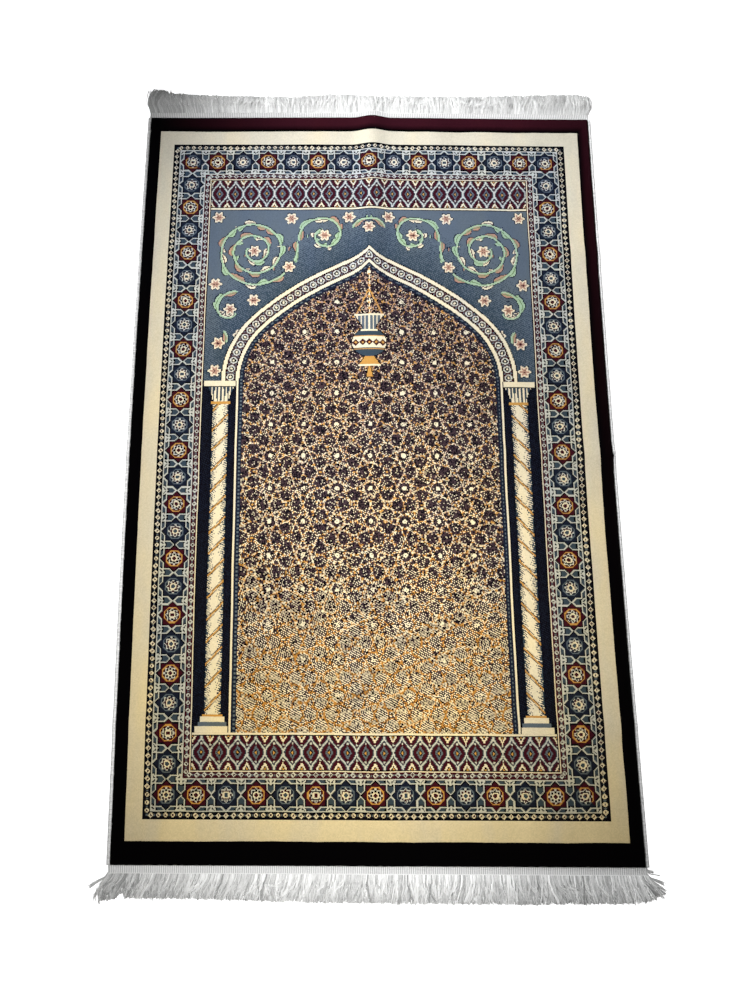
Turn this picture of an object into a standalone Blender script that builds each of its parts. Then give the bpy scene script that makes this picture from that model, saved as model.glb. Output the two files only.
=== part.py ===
"""A woven pile prayer rug lying flat, with an overcast cord down each long side and a fringed tape at each end.

Metres, +Z up. The origin is on the floor under the middle of the rug, +X is to the right and +Y runs towards the
end that the pattern points at. Five pieces: the rug, two side cords and two fringes.
"""

import math
import random
from collections import namedtuple

import bmesh
import bpy

# Driving sizes
RUG_WIDTH = 0.690
RUG_LENGTH = 1.100
RUG_THICKNESS = 0.0070
PILE_ROUND = 0.0040  # how far in from its edge the pile rounds over
RIM_SHARE = 0.55  # the rug's thickness at its very edge, as a share of the full one
CORD_DIAMETER = 0.0032
TAPE_WIDTH = 0.0130
TAPE_THICKNESS = 0.0022
TAPE_OVERHANG = 0.0030  # how far the tape runs past the rug's side, over the end of the cord
STRANDS = 120  # locks of yarn at each end
GAP = 0.0003  # between neighbouring pieces

# How the rug strays from a rectangle
LEFT_BOW = 0.0045  # the left side bulges out by this
RIGHT_BOW = -0.0020  # the right side is drawn in by this
FAR_END_DIP = 0.0020  # the far end is drawn in by this at its corners

# Where the cloth stands off the floor along its old folds. A fold runs "along" the length at an x, or "across"
# the width at a y, and its height changes from its near or left end to its far or right end.
Fold = namedtuple("Fold", "runs at start_height end_height half_width")
FOLDS = (
    Fold("along", 0.004, 0.0012, 0.0060, 0.034),
    Fold("across", -0.374, 0.0016, 0.0010, 0.026),
    Fold("across", 0.0, 0.0012, 0.0022, 0.028),
    Fold("across", 0.316, 0.0010, 0.0016, 0.026),
)
FOLD_STATIONS = (-1, -0.6, -0.28, 0, 0.28, 0.6, 1)  # where a fold's section is cut, in half widths
PLAIN_PITCH = 0.110  # between the cuts where the cloth is flat
EDGE_STATIONS = (0, 0.3, 1)  # where the pile's rounded edge is cut, in PILE_ROUND

# The fringes: the end of Y they are on, the strands' length and how far the corner of the fringe fans outwards
Fringe = namedtuple("Fringe", "name end strand_length splay")
FRINGES = (Fringe("fringe_far", 1, 0.030, 0.011), Fringe("fringe_near", -1, 0.036, 0.029))

# The sections of a strand: how far along it each is, and its width as a share of the strands' pitch
Section = namedtuple("Section", "along width_share")
STRAND_SECTIONS = (Section(0.34, 0.70), Section(0.70, 0.60), Section(1.0, 0.36))
ROOT_WIDTH_SHARE = 0.74
TIP_THICKNESS = 0.0014
STRAY = 0.0016  # how far a strand's tip strays sideways
STRAY_WAVES = 9  # over half the fringe's width
LENGTH_STRAY = 0.10  # how much a strand's length varies, as a share
SPLAY_REACH = 0.030  # how far in from each corner the strands fan
CORNER_SHORTENING = 0.35  # the outermost strand's loss of length in fanning, as a share

WINE = (0.060, 0.018, 0.026, 1)
CREAM = (0.720, 0.660, 0.480, 1)
WHITE = (0.820, 0.830, 0.840, 1)


def clear_scene():
    for obj in list(bpy.data.objects):
        bpy.data.objects.remove(obj)


def make_material(name, colour, roughness):
    material = bpy.data.materials.new(name)
    material.use_nodes = True
    shader = material.node_tree.nodes["Principled BSDF"]
    shader.inputs["Base Color"].default_value = colour
    shader.inputs["Roughness"].default_value = roughness
    shader.inputs["Metallic"].default_value = 0
    return material


def link(name, data, material, collection):
    obj = bpy.data.objects.new(name, data)
    data.materials.append(material)
    collection.objects.link(obj)


def bell(distance, half_width):
    """1 at no distance, falling smoothly to 0 at half_width."""
    share = min(1.0, abs(distance) / half_width)
    return (0.5 + 0.5 * math.cos(math.pi * share)) ** 1.2


def lift(x, y):
    """How far the underside of the cloth stands off the floor."""
    height = 0.0
    for fold in FOLDS:
        across, along, reach = (x, y, RUG_LENGTH) if fold.runs == "along" else (y, x, RUG_WIDTH)
        share = min(1.0, max(0.0, along / reach + 0.5))
        peak = fold.start_height + (fold.end_height - fold.start_height) * share**2
        height = max(height, peak * bell(across - fold.at, fold.half_width))
    return height


def side_x(side, y):
    """The x of the rug's left (side -1) or right (side 1) edge at y."""
    bow = LEFT_BOW if side < 0 else RIGHT_BOW
    return side * (RUG_WIDTH / 2 + bow * math.cos(math.pi * y / RUG_LENGTH))


def end_y(end, x):
    """The y of the rug's near (end -1) or far (end 1) edge at x."""
    dip = FAR_END_DIP * (1 - bell(x, RUG_WIDTH / 2)) if end > 0 else 0
    return end * (RUG_LENGTH / 2 - dip)


def fitted(x, y):
    """Moves a point of the plain rectangle to where it lies within the rug's true outline."""
    to_right = x / RUG_WIDTH + 0.5
    to_far = y / RUG_LENGTH + 0.5
    left, near = side_x(-1, y), end_y(-1, x)
    return left + to_right * (side_x(1, y) - left), near + to_far * (end_y(1, x) - near)


def stations(size, folds):
    """Where the cloth is cut across one direction: at a plain pitch, over each fold and round the two edges."""
    count = round(size / PLAIN_PITCH)
    plain = [size * (k / count - 0.5) for k in range(1, count)]
    clear = [place for place in plain if all(abs(place - fold.at) > 1.15 * fold.half_width for fold in folds)]
    over_folds = [fold.at + share * fold.half_width for fold in folds for share in FOLD_STATIONS]
    round_edges = [side * (size / 2 - share * PILE_ROUND) for side in (-1, 1) for share in EDGE_STATIONS]
    return sorted(clear + over_folds + round_edges)


def thickness_at(distance):
    """The rug's thickness at a distance in from its edge."""
    share = min(1.0, distance / PILE_ROUND)
    return RUG_THICKNESS * (RIM_SHARE + (1 - RIM_SHARE) * math.sqrt(1 - (1 - share) ** 2))


def make_rug(material, collection):
    """One slab of cloth: a grid raised to the pile's height, then fitted to the outline and laid over the folds."""
    columns = stations(RUG_WIDTH, [fold for fold in FOLDS if fold.runs == "along"])
    rows = stations(RUG_LENGTH, [fold for fold in FOLDS if fold.runs == "across"])
    bm = bmesh.new()
    bmesh.ops.create_grid(bm, x_segments=len(columns) - 1, y_segments=len(rows) - 1, size=0.5)
    raised = bmesh.ops.extrude_face_region(bm, geom=bm.faces[:], use_keep_orig=True)
    top = [item for item in raised["geom"] if isinstance(item, bmesh.types.BMVert)]
    bmesh.ops.translate(bm, vec=(0, 0, 1), verts=top)
    for vert in bm.verts:
        x = columns[round((vert.co.x + 0.5) * (len(columns) - 1))]
        y = rows[round((vert.co.y + 0.5) * (len(rows) - 1))]
        from_edge = min(RUG_WIDTH / 2 - abs(x), RUG_LENGTH / 2 - abs(y))
        thickness = thickness_at(from_edge) if vert.co.z > 0.5 else 0
        vert.co = (*fitted(x, y), lift(x, y) + thickness)
    bmesh.ops.recalc_face_normals(bm, faces=bm.faces)
    mesh = bpy.data.meshes.new("rug")
    bm.to_mesh(mesh)
    bm.free()
    mesh.shade_smooth()
    mesh.set_sharp_from_angle(angle=math.radians(40))
    link("rug", mesh, material, collection)


def make_side_cord(name, side, material, collection):
    """The overcast edge down one side: a round cord that follows the cloth's outline and its folds."""
    places = stations(RUG_LENGTH, [fold for fold in FOLDS if fold.runs == "across"])
    radius = CORD_DIAMETER / 2
    curve = bpy.data.curves.new(name, "CURVE")
    curve.dimensions = "3D"
    curve.bevel_depth = radius
    curve.bevel_resolution = 2
    curve.use_fill_caps = True
    spline = curve.splines.new("POLY")
    spline.points.add(len(places) - 1)
    for point, y in zip(spline.points, places):
        edge_x, edge_y = fitted(side * RUG_WIDTH / 2, y)
        height = radius + lift(side * RUG_WIDTH / 2, y)
        point.co = (edge_x + side * (radius + GAP), edge_y, height, 1)
    link(name, curve, material, collection)


def draw_strand(bm, face, pitch, sideways, length):
    """Extrudes one face of the tape's outer edge into a strand, section by section, down on to the floor."""
    root = face.calc_center_median()
    root_low = min(vert.co.z for vert in face.verts)
    for section in STRAND_SECTIONS:
        face = bmesh.ops.extrude_discrete_faces(bm, faces=[face])["faces"][0]
        low = root_low * (1 - section.along)
        thickness = TAPE_THICKNESS + (TIP_THICKNESS - TAPE_THICKNESS) * section.along
        was = face.calc_center_median()
        middle_x = root.x + sideways * section.along**1.6
        for vert in face.verts:
            half_width = math.copysign(section.width_share * pitch / 2, vert.co.x - was.x)
            height = thickness if vert.co.z > was.z else 0
            vert.co = (middle_x + half_width, root.y + length * section.along, low + height)


def make_fringe(fringe, material, collection):
    """The fringed tape at one end, made at the far end and mirrored for the near one: a strip whose outer edge is
    drawn out into strands."""
    chance = random.Random(fringe.name)
    half_width = RUG_WIDTH / 2 + TAPE_OVERHANG
    pitch = 2 * half_width / STRANDS
    middles = [(k + 0.5) * pitch - half_width for k in range(STRANDS)]
    roots = [middle + side * ROOT_WIDTH_SHARE * pitch / 2 for middle in middles for side in (-1, 1)]
    cuts = [-half_width, *roots, half_width]
    bm = bmesh.new()
    bmesh.ops.create_cube(bm, size=1)
    crosswise = [edge for edge in bm.edges if abs(edge.verts[0].co.x - edge.verts[1].co.x) > 0.5]
    bmesh.ops.subdivide_edges(bm, edges=crosswise, cuts=len(cuts) - 2, use_grid_fill=True)
    outer_edge = [face for face in bm.faces if face.normal.y > 0.5]
    outer_edge.sort(key=lambda face: face.calc_center_median().x)
    for vert in bm.verts:
        x = cuts[round((vert.co.x + 0.5) * (len(cuts) - 1))]
        on_rug = min(RUG_WIDTH / 2, max(-RUG_WIDTH / 2, x))
        y = abs(end_y(fringe.end, on_rug)) + GAP + (TAPE_WIDTH if vert.co.y > 0 else 0)
        height = TAPE_THICKNESS if vert.co.z > 0 else 0
        vert.co = (x, y, lift(x, fringe.end * RUG_LENGTH / 2) + height)
    for middle, face in zip(middles, outer_edge[1::2]):
        wave = math.sin(math.pi * STRAY_WAVES * middle / half_width) + 0.5 * math.sin(47 * middle)
        in_corner = max(0.0, (abs(middle) - half_width + SPLAY_REACH) / SPLAY_REACH)
        sideways = STRAY * wave * (1 - in_corner) + math.copysign(fringe.splay * in_corner**2, middle)
        shortening = LENGTH_STRAY * chance.random() + CORNER_SHORTENING * in_corner**2
        draw_strand(bm, face, pitch, sideways, fringe.strand_length * (1 - shortening))
    bmesh.ops.scale(bm, vec=(1, fringe.end, 1), verts=bm.verts)
    bmesh.ops.recalc_face_normals(bm, faces=bm.faces)
    mesh = bpy.data.meshes.new(fringe.name)
    bm.to_mesh(mesh)
    bm.free()
    link(fringe.name, mesh, material, collection)


def main():
    clear_scene()
    collection = bpy.data.collections.new("prayer_rug")
    bpy.context.scene.collection.children.link(collection)
    wine_pile = make_material("wine_pile", WINE, 0.95)
    cream_yarn = make_material("cream_yarn", CREAM, 0.9)
    white_yarn = make_material("white_yarn", WHITE, 0.9)
    make_rug(wine_pile, collection)
    make_side_cord("side_cord_left", -1, cream_yarn, collection)
    make_side_cord("side_cord_right", 1, cream_yarn, collection)
    for fringe in FRINGES:
        make_fringe(fringe, white_yarn, collection)


main()
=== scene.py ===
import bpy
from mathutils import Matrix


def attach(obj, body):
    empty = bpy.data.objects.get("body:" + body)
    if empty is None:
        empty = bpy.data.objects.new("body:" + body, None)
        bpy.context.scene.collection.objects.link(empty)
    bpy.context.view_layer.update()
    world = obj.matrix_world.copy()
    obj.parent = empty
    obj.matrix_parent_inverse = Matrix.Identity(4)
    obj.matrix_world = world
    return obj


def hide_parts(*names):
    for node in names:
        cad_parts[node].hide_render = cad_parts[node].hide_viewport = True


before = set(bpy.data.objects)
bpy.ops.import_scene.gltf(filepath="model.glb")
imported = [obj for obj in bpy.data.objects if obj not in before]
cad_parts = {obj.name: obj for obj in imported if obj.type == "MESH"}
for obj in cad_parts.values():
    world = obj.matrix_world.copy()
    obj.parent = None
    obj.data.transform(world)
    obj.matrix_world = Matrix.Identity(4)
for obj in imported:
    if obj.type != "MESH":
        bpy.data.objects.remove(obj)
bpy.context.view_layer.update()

"""Looks of a woven pile prayer rug: its knotted pile, overcast sides, ribbed headings and fringes.

Metres for shapes, millimetres for the design on the cloth. Each point of the pile and of the headings keeps
its place on the cloth (x to the right, y to the far end, from the rug's middle) in its "cloth" attribute, and
each point of a yarn its place on the yarn. The materials read it.
"""

import math
from collections import namedtuple
from functools import partial

import bpy
import numpy as np
from mathutils import Vector

MM = 0.001

# Sizes of the frame's solids, repeated from the part's source
RUG_WIDTH = 0.69
RUG_LENGTH = 1.1
RUG_THICKNESS = 0.007
TAPE_WIDTH = 0.013
TAPE_OVERHANG = 0.003
TAPE_HALF = RUG_WIDTH / 2 + TAPE_OVERHANG
GAP = 0.0003
LEFT_BOW = 0.0045
RIGHT_BOW = -0.002
FAR_END_DIP = 0.002

Fold = namedtuple("Fold", "runs at start_height end_height half_width")
FOLDS = (
    Fold("along", 0.004, 0.0012, 0.006, 0.034),
    Fold("across", -0.374, 0.0016, 0.001, 0.026),
    Fold("across", 0.0, 0.0012, 0.0022, 0.028),
    Fold("across", 0.316, 0.001, 0.0016, 0.026),
)

# A row of a fringe's table has a place along x, how long the yarns there are beyond the stitches, how far in
# degrees they lean to +x as they leave them and at their tips, and how much lighter they are painted: painted
# shade, which darkens the corners and the far fringe
FAR_TABLE = (
    (-0.348, 0.0445, -38, 34, -0.42),
    (-0.334, 0.0445, -36, 14, -0.42),
    (-0.315, 0.0425, -30, -8, -0.46),
    (-0.3, 0.0385, -22, -12, -0.5),
    (-0.272, 0.035, -19, -12, -0.44),
    (-0.25, 0.0342, -16, -10, -0.24),
    (-0.215, 0.0325, -6, -5, -0.12),
    (-0.12, 0.03, -2, -2, -0.1),
    (-0.06, 0.035, 0, 0, -0.08),
    (0.03, 0.032, 2, 2, -0.1),
    (0.15, 0.0325, 8, 8, -0.18),
    (0.26, 0.037, 10, 10, -0.26),
    (0.325, 0.038, 8, 2, -0.24),
    (0.348, 0.037, 50, -24, -0.3),
)
NEAR_TABLE = (
    (-0.348, 0.0375, -64, 12, -0.2),
    (-0.335, 0.0355, -46, -10, -0.2),
    (-0.324, 0.033, -34, -18, -0.18),
    (-0.318, 0.025, -28, -24, -0.16),
    (-0.311, 0.0325, -26, -26, -0.14),
    (-0.2, 0.0335, -25, -28, -0.02),
    (-0.12, 0.0355, -22, -22, 0.0),
    (0.000, 0.0352, -12, -10, 0.01),
    (0.12, 0.0355, 0, 0, 0.0),
    (0.18, 0.0355, 3, 4, -0.12),
    (0.25, 0.035, 6, 8, -0.26),
    (0.318, 0.0345, 12, 14, -0.18),
    (0.336, 0.035, 30, 30, -0.2),
    (0.348, 0.032, 56, 50, -0.34),
)

# A loose lock at a corner
Lock = namedtuple("Lock", "side yarns set_back angle length")
NEAR_LOCKS = (
    Lock(-1, 24, 0.001, 60, 0.031),
    Lock(1, 14, 0.007, 80, 0.0095),
    Lock(1, 4, 0.0055, 84, 0.02),
    Lock(1, 26, 0.002, 68, 0.027),
    Lock(1, 26, 0.001, 54, 0.032),
    Lock(1, 22, 0.0005, 38, 0.036),
)

# A fringe: the end of y it is on, how much its yarns differ in tone, with painted shade on the under yarns,
# and the seed of its random numbers
Fringe = namedtuple("Fringe", "name end table locks contrast seed")
FRINGES = (
    Fringe("far", 1, FAR_TABLE, (), 0.6, 3),
    Fringe("near", -1, NEAR_TABLE, NEAR_LOCKS, 1.25, 8),
)

# ---- How the cloth lies ----


def bell(distance, half_width):
    """1 at no distance, falling smoothly to 0 at half_width."""
    share = np.minimum(1.0, np.abs(distance) / half_width)
    return (0.5 + 0.5 * np.cos(np.pi * share)) ** 1.2


def lift(x, y):
    """How far the underside of the cloth stands off the floor."""
    height = 0.0 * (x + y)
    for fold in FOLDS:
        across, along, reach = (x, y, RUG_LENGTH) if fold.runs == "along" else (y, x, RUG_WIDTH)
        share = np.clip(along / reach + 0.5, 0.0, 1.0)
        peak = fold.start_height + (fold.end_height - fold.start_height) * share**2
        height = np.maximum(height, peak * bell(across - fold.at, fold.half_width))
    return height


def side_x(side, y):
    bow = LEFT_BOW if side < 0 else RIGHT_BOW
    return side * (RUG_WIDTH / 2 + bow * np.cos(np.pi * y / RUG_LENGTH))


def end_y(end, x):
    dip = FAR_END_DIP * (1 - bell(x, RUG_WIDTH / 2)) if end > 0 else 0 * x
    return end * (RUG_LENGTH / 2 - dip)


def fitted(x, y):
    """Moves a point of the plain rectangle to where it lies within the rug's true outline."""
    to_right = x / RUG_WIDTH + 0.5
    to_far = y / RUG_LENGTH + 0.5
    left, near = side_x(-1, y), end_y(-1, x)
    return left + to_right * (side_x(1, y) - left), near + to_far * (end_y(1, x) - near)


Rim = namedtuple("Rim", "reach share power")
SIDE_RIM = Rim(0.004, 0.55, 0.5)
END_RIM = Rim(0.006, 0.46, 0.8)  # the pile is pressed lower where the heading is sewn on


def pile_height(distance, rim):
    """The pile's height over the underside at a distance in from its edge."""
    share = np.minimum(1.0, distance / rim.reach)
    return RUG_THICKNESS * (rim.share + (1 - rim.share) * (1 - (1 - share) ** 2) ** rim.power)


Wave = namedtuple("Wave", "length angle height phase")
PILE_WAVES = (  # the shallow unevenness of cloth that was stored folded
    Wave(0.093, 0.4, 0.00016, 0.3),
    Wave(0.061, 2.1, 0.00012, 1.9),
    Wave(0.14, 1.2, 0.00022, 4.0),
    Wave(0.037, 2.8, 0.00006, 2.6),
)


def unevenness(x, y):
    height = 0.0
    for wave in PILE_WAVES:
        along = x * math.cos(wave.angle) + y * math.sin(wave.angle)
        height = height + wave.height * np.sin(2 * np.pi * along / wave.length + wave.phase)
    return height


# ---- Making meshes ----


def placed(name, data):
    """A new object, linked to the scene."""
    thing = bpy.data.objects.new(name, data)
    bpy.context.scene.collection.objects.link(thing)
    return thing


def new_piece(name, points, faces, cloth, materials, sharp_angle=None):
    """A mesh object. cloth has, for each point, the numbers that its materials read."""
    mesh = bpy.data.meshes.new(name)
    mesh.from_pydata(points, [], faces)
    mesh.attributes.new("cloth", "FLOAT_VECTOR", "POINT").data.foreach_set("vector", np.ravel(cloth))
    for material in materials:
        mesh.materials.append(material)
    mesh.shade_smooth()
    if sharp_angle is not None:
        mesh.set_sharp_from_angle(angle=math.radians(sharp_angle))
    return placed(name, mesh)


def upright(values):
    """A run of values as a column, one for each row of a grid."""
    return np.asarray(values)[:, None]


def stacked(*axes):
    """Points from their coordinates, each an array or one number."""
    return np.stack(np.broadcast_arrays(*axes), -1)


def skin(sections):
    """Points and faces of a closed skin over an array of (sections, points round, 3). The points of a section
    run round it so that its faces point out."""
    count, around, _ = sections.shape
    starts = np.arange(count - 1)[:, None] * around
    here = starts + np.arange(around)
    beside = starts + (np.arange(around) + 1) % around
    quads = stacked(here, beside, beside + around, here + around).reshape(-1, 4)
    caps = [list(range(around))[::-1], list(range((count - 1) * around, count * around))]
    return sections.reshape(-1, 3), quads.tolist() + caps


# ---- Sums in shader nodes ----


def method(operation, swapped=False):
    """A method that works out an operation on its value and another."""
    return lambda self, other: worked(operation, *((other, self) if swapped else (self, other)))


class Value:
    """A number, colour or place worked out by shader nodes. Sums on it add the nodes that work them out."""

    def __init__(self, socket):
        self.socket = socket

    __add__ = __radd__ = method("ADD")
    __mul__ = __rmul__ = method("MULTIPLY")
    __sub__ = method("SUBTRACT")
    __rsub__ = method("SUBTRACT", swapped=True)
    __truediv__ = method("DIVIDE")
    __rtruediv__ = method("DIVIDE", swapped=True)
    __lt__ = method("LESS_THAN")  # 1 where it is so and 0 where it isn't
    __gt__ = method("GREATER_THAN")

    def __abs__(self):
        return worked("ABSOLUTE", self)


def feed(socket, term):
    if isinstance(term, Value):
        socket.id_data.links.new(term.socket, socket)
    else:
        socket.default_value = term


def set_all(thing, settings):
    for name, setting in settings.items():
        setattr(thing, name, setting)


def outputs_of(kind, inputs, **settings):
    """The outputs of a new node, from its settings and the terms that feed its inputs."""
    tree = next(term.socket.id_data for term in inputs.values() if isinstance(term, Value))
    node = tree.nodes.new("ShaderNode" + kind)
    set_all(node, settings)
    for name, term in inputs.items():
        feed(node.inputs[name], term)
    return [Value(output) for output in node.outputs]


def worked(operation, *terms, clamped=False):
    return outputs_of("Math", dict(enumerate(terms)), operation=operation, use_clamp=clamped)[0]


def mixed(data_type, share, first, second, blend="MIX"):
    first_input, second_input, output = {"FLOAT": (2, 3, 0), "RGBA": (6, 7, 2)}[data_type]
    inputs = {0: share, first_input: first, second_input: second}
    return outputs_of("Mix", inputs, data_type=data_type, blend_type=blend)[output]


floor = partial(worked, "FLOOR")
rounded = partial(worked, "ROUND")
frac = partial(worked, "FRACT")
root = partial(worked, "SQRT")
sine = partial(worked, "SINE")
cosine = partial(worked, "COSINE")
angle_of = partial(worked, "ARCTAN2")
exponential = partial(worked, "EXPONENT")
near = partial(worked, "COMPARE")  # of a value, a place and the reach round that place
pick = partial(mixed, "FLOAT")  # of a share, a number where it is 0 and one where it is 1


def clamp(a):
    return worked("ADD", a, 0.0, clamped=True)


def length(a, b):
    return root(worked("MULTIPLY_ADD", a, a, b * b))


def least(first, *others):
    for other in others:
        first = worked("MINIMUM", first, other)
    return first


def most(first, *others):
    for other in others:
        first = worked("MAXIMUM", first, other)
    return first


def paint(under, mask, colour):
    """colour where mask is 1, over what is under it."""
    return mixed("RGBA", mask, under, colour)


def painted(colour, *layers):
    """Layers painted one over the other: (mask, yarn) pairs from the lowest up."""
    for mask, tone in layers:
        colour = paint(colour, mask, tone)
    return colour


def ringed(colour, distance, *rings):
    """Rings painted one within the other: (reach, yarn) pairs from the widest in."""
    return painted(colour, *((distance < reach, tone) for reach, tone in rings))


def folded(a, pitch):
    """The distance to the nearest multiple of pitch."""
    return abs(a - rounded(a / pitch) * pitch)


def together(x, y, z=0.0):
    return outputs_of("CombineXYZ", {0: x, 1: y, 2: z})[0]


def apart(place):
    return outputs_of("SeparateXYZ", {0: place})


def chances(x, y):
    """Three random numbers, the same wherever x and y are."""
    return apart(outputs_of("TexWhiteNoise", {"Vector": together(x, y)}, noise_dimensions="2D")[1])


def noise(place, scale, detail=2.0):
    """Soft noise from 0 to 1, as its grey and its three separate channels."""
    return outputs_of("TexNoise", {"Vector": place, "Scale": scale, "Detail": detail})


def shaded(colour, share):
    """The colour times a share."""
    colour = colour if isinstance(colour, Value) else colour[:3]
    return outputs_of("VectorMath", {0: colour, "Scale": share}, operation="SCALE")[0]


def new_material(name):
    """A material, and the numbers that a mesh keeps for it in its "cloth" attribute."""
    material = bpy.data.materials.new(name)
    material.use_nodes = True
    attribute = material.node_tree.nodes.new("ShaderNodeAttribute")
    attribute.attribute_name = "cloth"
    return material, Value(attribute.outputs["Vector"])


def dressed(material, colour, roughness, specular, sheen=0.0):
    """The material with its looks."""
    names = ("Base Color", "Roughness", "Specular IOR Level", "Sheen Weight")
    for name, term in zip(names, (colour, roughness, specular, sheen)):
        feed(material.node_tree.nodes["Principled BSDF"].inputs[name], term)
    return material


def bumped(material, height, distance):
    """The material with a relief of that height, which is scaled to that distance."""
    bump = outputs_of("Bump", {"Height": height, "Distance": distance})[0]
    feed(material.node_tree.nodes["Principled BSDF"].inputs["Normal"], bump)
    return material


# ---- The yarns ----


def yarn(red, green, blue):
    """A shader colour from the red, green and blue, 0 to 255, that a screen shows."""
    shares = [channel / 255 for channel in (red, green, blue)]
    return (*(s / 12.92 if s <= 0.04045 else ((s + 0.055) / 1.055) ** 2.4 for s in shares), 1.0)


INK = yarn(12, 12, 22)
NAVY = yarn(27, 34, 54)
WINE = yarn(62, 20, 33)
# Lit and shaded copies of the border's dark wine, mixed by where light falls: painted light and painted shade
BORDER_PAINTED_LIT = yarn(64, 22, 34)
BORDER_PAINTED_SHADE = yarn(3, 2, 4)
CREAM = yarn(240, 233, 213)
PALE = yarn(206, 212, 214)
SLATE = yarn(96, 110, 128)
STEEL = yarn(58, 74, 92)
GOLD = yarn(204, 156, 84)
OCHRE = yarn(184, 134, 66)
GREEN = yarn(118, 150, 106)
MINT = yarn(170, 200, 176)
ROSE = yarn(186, 148, 134)
TAN = yarn(184, 156, 144)
PLUM = yarn(70, 56, 66)
BACKING = yarn(206, 196, 172)
BACKING_DEEP = yarn(190, 176, 148)
WHITE = yarn(252, 252, 250)

# ---- The design, in millimetres on the cloth ----

HALF_WIDTH = RUG_WIDTH / MM / 2
HALF_LENGTH = RUG_LENGTH / MM / 2
KNOT_WIDTH = 1.38
KNOT_LENGTH = 1.375
DIAGONAL = 0.7071  # the sine of 45 degrees

# The plain dark border and the cream band within it
Sides = namedtuple("Sides", "left right far near")
BORDER = Sides(left=17.5, right=20, far=27, near=30)
FIELD = Sides(left=39.55, right=42.05, far=51, near=56)
FIELD_SHIFT = (FIELD.left - FIELD.right) / 2
FIELD_HALF = HALF_WIDTH - (FIELD.left + FIELD.right) / 2
FIELD_FAR = HALF_LENGTH - FIELD.far
FIELD_NEAR = FIELD.near - HALF_LENGTH

# The main border: star tiles between two guard stripes
TILE = 39
TILE_MIDDLE = 30.7  # from the field's edge to the middle of the tiles
TILES_ACROSS = 14
TILES_ALONG = 24
RING_WIDTH = 62.8
INNER_HALF = FIELD_HALF - RING_WIDTH
INNER_FAR = FIELD_FAR - RING_WIDTH
INNER_NEAR = FIELD_NEAR + RING_WIDTH

# The niche and the panels above and below it
PANEL_FAR = 384.5
PANEL_NEAR = -385
TRELLIS_FAR = 390.2
TRELLIS_NEAR = -389.2
TRELLIS_WIDTH = 24.14
FAR_RISE = 46  # the height of a cell of the trellis
NEAR_RISE = 42
NICHE_HALF = 190
SPRING = 108  # where the arch springs from
HAUNCH = 118  # the radius at the arch's side
CROWN = 450  # and towards its point
TURN = math.radians(48)  # where the one becomes the other
TIP = 11
TIP_REACH = 12
BAND_WIDTH = 27  # of the band round the arch
BAND_MIDDLE = 12.7
COLUMN_X = 215.5


def outer_border(x, y, *_chances):
    """The plain dark border, painted wine-red where light falls and near-black in painted shade, and the
    cream band.
    """
    left = x + FIELD_SHIFT + HALF_WIDTH - BORDER.left
    right = HALF_WIDTH - FIELD_SHIFT - BORDER.right - x
    inside = least(left, right, HALF_LENGTH - BORDER.far - y, y + HALF_LENGTH - BORDER.near)
    # painted light: the border is painted wine-red towards the far end, and near-black as painted shade
    # towards the near end, the sides and next to the cream band
    to_far = clamp((y + 420) / 1000)
    lit = to_far * to_far * to_far * clamp((x + 330) / 220) * (1 - 0.3 * clamp((x - 230) / 100))
    lit = lit * clamp((-2 - inside) / 9)
    return paint(paint(BORDER_PAINTED_SHADE, lit, BORDER_PAINTED_LIT), inside > 0, CREAM)


def star_tile(along, across, odd):
    """An eight-pointed star with a rosette in it. along and across are distances from the tile's middle."""
    square = most(along, across)
    diamond = (along + across) * DIAGONAL
    star = least(square, diamond)
    octagon = most(square, diamond)
    to_corner = TILE / 2 - along
    to_side = TILE / 2 - across
    cross = least(to_corner, to_side) + 0.35 * most(to_corner, to_side)
    petals = length(along, across) - 1.3 * cosine(8 * angle_of(across, along))
    colour = paint(NAVY, star > 14.6, STEEL)
    colour = ringed(colour, length(to_corner, to_side), (8.6, INK), (6.6, PALE), (4.6, INK))
    colour = paint(colour, (cross < 2.2) * (most(to_corner, to_side) < 4.4), PALE)
    colour = ringed(colour, star, (15.4, PALE), (13.9, INK), (12.4, paint(WINE, odd, NAVY)))
    colour = paint(colour, near(octagon, 10.3, 0.75), paint(GOLD, odd, SLATE))
    colour = ringed(colour, petals, (8, PALE), (6.4, paint(INK, odd, WINE)))
    return ringed(colour, octagon, (4.6, CREAM), (2.6, paint(WINE, odd, STEEL)))


def guard_stripe(along, across, ground, mark):
    """A running row of diamonds and dots."""
    pitch = TILE / 4
    gap = folded(along, pitch)
    colour = ringed(ground, gap + across, (3.6, mark), (1.7, WINE))
    return paint(colour, pitch / 2 - gap + across < 1.5, SLATE)


def main_border(x, y, *_chances):
    """A row of star tiles between two guard stripes."""
    from_side = FIELD_HALF - abs(x)
    from_end = least(FIELD_FAR - y, y - FIELD_NEAR)
    depth = least(from_side, from_end)
    middle = (FIELD_FAR + FIELD_NEAR) / 2
    pitch_across = 2 * (FIELD_HALF - TILE_MIDDLE) / TILES_ACROSS
    pitch_along = (FIELD_FAR - FIELD_NEAR - 2 * TILE_MIDDLE) / TILES_ALONG
    place = pick(from_side < from_end, x / pitch_across, (y - middle) / pitch_along)
    index = rounded(place)
    odd = frac(index / 2) * 2
    along = place * TILE
    return painted(
        star_tile(abs(place - index) * TILE, abs(depth - TILE_MIDDLE), odd),
        (depth < 11.2, PALE),
        (depth < 9.8, guard_stripe(along, abs(depth - 5.6), INK, CREAM)),
        (depth < 1.4, INK),
        (depth > 50.2, PALE),
        (depth > 51.6, guard_stripe(along, abs(depth - 55.8), WINE, PALE)),
        (depth > 60, CREAM),
        (depth > 61.4, INK),
    )


def panels(x, y, *_chances):
    """An ogee trellis with a flower in each cell, above and below the niche."""
    far = y > 0
    colour = trellis(x, y + pick(far, NEAR_RISE - TRELLIS_NEAR, -TRELLIS_FAR), pick(far, NEAR_RISE, FAR_RISE))
    edge = pick(far, PANEL_NEAR - y, y - PANEL_FAR - 1.5)
    return ringed(colour, edge, (TRELLIS_FAR - PANEL_FAR - 1.5, INK), (2.8, CREAM), (0, INK))


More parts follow.
